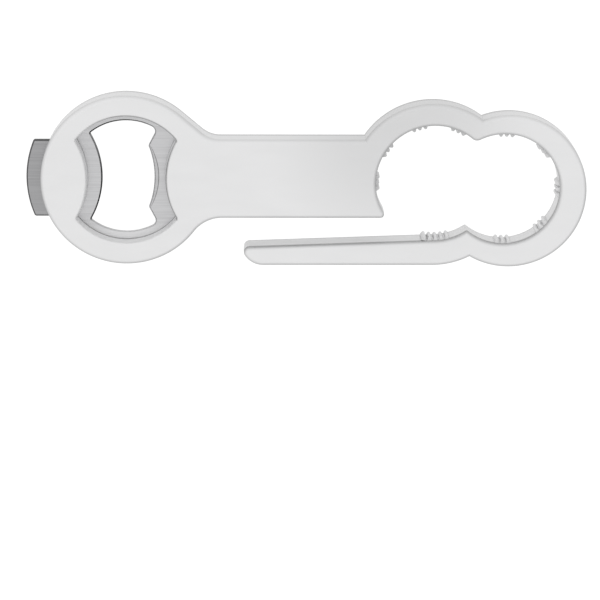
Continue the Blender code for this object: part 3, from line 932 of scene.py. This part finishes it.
def make_teeth_and_ribs(material):
    tree = bars_tree(material)
    make_bars(tree, "jaw_teeth", "handle", JAW_CENTRE, JAW_BORE, JAW_GROUP_ANGLES, GROUP, TOOTH)
    for index, angle in enumerate(link_angles()):
        make_bars(tree, f"bow_teeth_{index + 1}", f"bow_length_{index + 1}", BOW_CENTRE, BOW_BORE,
                  [angle], GROUP, TOOTH)
    make_bars(tree, "lever_teeth", "lever", JAW_CENTRE, JAW_BORE, [LEVER_SLOPE - pi / 2],
              LEVER_GROUP, TOOTH)
    make_bars(tree, "lever_ribs", "lever", (RIBS_MIDDLE, LEVER_BACK - RIBS_CIRCLE), RIBS_CIRCLE,
              [pi / 2], RIBS, RIB)


# ---- materials ----
PLASTIC_GREYS, PLASTIC_TINT = (0.76, 0.88), 0.004    # darkest and palest, and how much bluer
PLASTIC_ROUGHNESS, PLASTIC_METALLIC = (0.28, 0.42), 0.25
COAT, COAT_ROUGHNESS = 0.2, 0.15
CLOUD_STRETCH, CLOUD_SCALE, CLOUD_SHARE = (0.35, 1.0, 1.0), 160.0, 0.45
FLAKE_SCALE, SKIN_SCALE = 9000.0, 700.0
FLAKE_RISE = 0.4             # of the flake's bumps, beside the skin's
SKIN_BUMP = (0.06, 0.0002)   # strength and distance
# colour of the painted shade along the moulding's creases, feet and roundings
MOULDING_SHADE_GREY = 0.12
SHADE_SPOT = (JAW.x - 0.012, JAW.y + 0.022, MID)    # painted shade: the plastic is painted greyer round a spot above the jaw
SHADE_SPOT_NEAR, SHADE_SPOT_FAR, SHADE_SPOT_DEPTH, SHADE_SPOT_GREY = 0.010, 0.052, 0.24, 0.35
SHADE_SPOT_CLOUD = (0.6, 1.4)      # the clouds break that shade up

FINE_STRETCH, COARSE_STRETCH = (60.0, 4200.0, 600.0), (25.0, 1300.0, 300.0)
FINE_SHARE = 0.6
STEEL_ROUGHNESS = (0.24, 0.44)
STEEL_BUMP = (0.25, 0.00005)
STEEL_SHADED, SHADED_TINT = (0.22, 0.52), 0.006
STEEL_BRIGHT, BRIGHT_TINT = (0.40, 0.78), 0.008
TAB_SHADE_FADE = 0.004          # how far the painted shade on the tab fades into the lighter steel inside the window
LEDGE_FADE, LEDGE_SHINE, LEDGE_GREY = 0.007, 0.55, 0.95    # painted highlight on the steel, brightest at the window's bottom
# colour of the painted shade on the steel's sheared edges
STEEL_SHADE_GREY = 0.03


class Finish(Nodes):
    """A material's nodes."""

    def __init__(self, name):
        self.material = bpy.data.materials.new(name)
        self.material.use_nodes = True
        super().__init__(self.material.node_tree)

    def surface(self, shader):
        self.node("ShaderNodeOutputMaterial", None, {"Surface": shader})
        return self.material

    def where(self):
        return self.node("ShaderNodeTexCoord", output="Object")

    def stretched(self, scale):
        return self.node("ShaderNodeMapping", None, {"Vector": self.where(), "Scale": scale})

    def noise(self, where, scale, detail=2.0, roughness=0.5):
        return self.node("ShaderNodeTexNoise", None, {
            "Vector": where, "Scale": scale, "Detail": detail, "Roughness": roughness})

    def edges(self):
        """The painted shade beside the creases, feet and sheared edges, and at the bars' roots."""
        return self.node("ShaderNodeAttribute", {"attribute_name": "dark"}, output="Fac")

    def bump(self, height, size):
        return self.node("ShaderNodeBump", None,
                         {"Strength": size[0], "Distance": size[1], "Height": height})

    def greys(self, factor, shades, blue):
        return self.mixed(factor, *(grey(shade, blue) for shade in shades))


def between(factor, ends):
    return ends[0] + (ends[1] - ends[0]) * factor


def grey(value, blue=0.0):
    return (value, value, value + blue, 1)


def silver_plastic():
    """Satin silver plastic: pale flake, faint flow marks and a slightly uneven moulded skin."""
    finish = Finish("silver plastic")
    cloud = finish.noise(finish.stretched(CLOUD_STRETCH), CLOUD_SCALE, 3.0)
    flake = finish.noise(finish.where(), FLAKE_SCALE, 1.0)
    skin = finish.noise(finish.where(), SKIN_SCALE)
    # painted shade, greyer round a spot above the jaw
    from_shade_spot = finish.node("ShaderNodeVectorMath", {"operation": "DISTANCE"},
                            {0: finish.where(), 1: SHADE_SPOT}, "Value")
    shade_spot_share = finish.ramp(from_shade_spot, SHADE_SPOT_NEAR, SHADE_SPOT_FAR, SHADE_SPOT_DEPTH, 0.0, "SMOOTHSTEP")
    tone = cloud * CLOUD_SHARE + flake * (1 - CLOUD_SHARE)
    colour = finish.greys(tone, PLASTIC_GREYS, PLASTIC_TINT)
    colour = finish.mixed(shade_spot_share * between(cloud, SHADE_SPOT_CLOUD), colour, grey(SHADE_SPOT_GREY))
    return finish.surface(finish.node("ShaderNodeBsdfPrincipled", None, {
        "Base Color": finish.mixed(finish.edges(), colour, grey(MOULDING_SHADE_GREY)),
        "Roughness": between(flake, PLASTIC_ROUGHNESS), "Metallic": PLASTIC_METALLIC,
        "Normal": finish.bump(skin + FLAKE_RISE * flake, SKIN_BUMP),
        "Coat Weight": COAT, "Coat Roughness": COAT_ROUGHNESS}))


def brushed_steel():
    """Stainless sheet brushed along the tool, painted darker on the tab than inside the window."""
    finish = Finish("brushed steel")
    fine = finish.noise(finish.stretched(FINE_STRETCH), 1.0, 3.0, 0.6)
    coarse = finish.noise(finish.stretched(COARSE_STRETCH), 1.0)
    tone = fine * FINE_SHARE + coarse * (1 - FINE_SHARE)
    side, bottom = HEAD.x - WINDOW_RADIUS, HEAD.y - WINDOW_RADIUS
    # painted shade: the steel is darker on the tab and lighter inside the window
    window_lit_share = finish.ramp(finish.part(finish.where(), "X"), side - TAB_SHADE_FADE, side)
    # painted highlight on the steel along the window's bottom
    ledge = finish.ramp(finish.part(finish.where(), "Y"), bottom, bottom + LEDGE_FADE,
                        LEDGE_SHINE, 0.0)
    colour = finish.mixed(window_lit_share, finish.greys(tone, STEEL_SHADED, SHADED_TINT),
                          finish.greys(tone, STEEL_BRIGHT, BRIGHT_TINT))
    colour = finish.mixed(ledge, colour, grey(LEDGE_GREY))
    return finish.surface(finish.node("ShaderNodeBsdfPrincipled", None, {
        "Base Color": finish.mixed(finish.edges(), colour, grey(STEEL_SHADE_GREY)),
        "Roughness": between(fine, STEEL_ROUGHNESS), "Metallic": 1.0,
        "Normal": finish.bump(tone, STEEL_BUMP)}))


# ---- stage, light and camera ----
FLOOR_HALF = 3.0
FLOOR_DROP = 0.0003          # below the object
FLOOR_GLOW, FLOOR_GREY, FLOOR_MATT = 1.12, 0.9, 0.1    # it glows, with a little matt white in it
LENS = 173.5
SENSOR = 36.0
CLIP = (0.01, 20)
CAMERA = Vector((-0.02018, 0.2095, 0.967))
CAMERA_TILT = radians(14.697)
CAMERA_YAW = radians(1.047)
# How bright the sky is at heights from -1 to 1, and its share towards and away from a soft card.
SKY = ((-1.0, 0.82), (0.0, 0.80), (0.75, 0.96))
CARD_WAY = Vector((-0.55, 0.80, 0.20)).normalized()
CARD = ((-0.8, 0.75), (-0.3, 1.0), (0.4, 1.0), (0.8, 1.12))


def make_floor():
    """A plain white table that lights nothing itself."""
    mesh = bpy.data.meshes.new("table")
    corners = [(x * FLOOR_HALF, y * FLOOR_HALF, cad_low.z - FLOOR_DROP)
               for x, y in ((-1, -1), (1, -1), (1, 1), (-1, 1))]
    mesh.from_pydata(corners, [], [(0, 1, 2, 3)])
    floor = placed("table", mesh)
    finish = Finish("white table")
    glow = finish.node("ShaderNodeEmission", None, {"Color": grey(1), "Strength": FLOOR_GLOW})
    matt = finish.node("ShaderNodeBsdfDiffuse", None, {"Color": grey(FLOOR_GREY)})
    both = finish.node("ShaderNodeMixShader", None, {0: FLOOR_MATT, 1: glow, 2: matt})
    mesh.materials.append(finish.surface(both))
    floor.visible_diffuse = floor.visible_glossy = False


def make_studio():
    """An even sky, brightest overhead, and a little brighter on one side than across from it."""
    world = bpy.data.worlds.new("studio")
    bpy.context.scene.world = world
    world.use_nodes = True
    sky = Nodes(world.node_tree)
    way = sky.node("ShaderNodeTexCoord", output="Generated")
    toward = sky.node("ShaderNodeVectorMath", {"operation": "DOT_PRODUCT"},
                      {0: way, 1: CARD_WAY}, "Value")
    glow, card = (sky.node("ShaderNodeValToRGB",
                           {"stops": [(0.5 + height / 2, value) for height, value in stops]},
                           {0: along * 0.5 + 0.5})
                  for along, stops in ((sky.part(way, "Z"), SKY), (toward, CARD)))
    light = sky.node("ShaderNodeBackground", None,
                     {"Color": sky.mixed(1.0, glow, card, "MULTIPLY")})
    sky.node("ShaderNodeOutputWorld", None, {"Surface": light})
    bpy.context.scene.view_settings.view_transform = "Standard"


def make_camera():
    data = bpy.data.cameras.new("camera")
    data.lens, data.sensor_width = LENS, SENSOR
    data.clip_start, data.clip_end = CLIP
    camera = placed("camera", data)
    ahead = Vector((0, -sin(CAMERA_TILT), -cos(CAMERA_TILT)))
    up = Vector((0, cos(CAMERA_TILT), -sin(CAMERA_TILT)))
    ahead = ahead * cos(CAMERA_YAW) + Vector((1, 0, 0)) * sin(CAMERA_YAW)
    right = ahead.cross(up)
    turn = Matrix((right, up, -ahead)).transposed().to_4x4()
    camera.matrix_world = Matrix.Translation(CAMERA) @ turn
    bpy.context.scene.camera = camera


def main():
    silver, steel = silver_plastic(), brushed_steel()
    outline, seams = moulding_outline()
    make_handle(outline, seams, silver)
    make_bends(outline, seams, silver)
    make_lever(outline, seams, silver)
    make_plate(steel)
    make_teeth_and_ribs(silver)
    make_floor()
    make_studio()
    make_camera()


main()
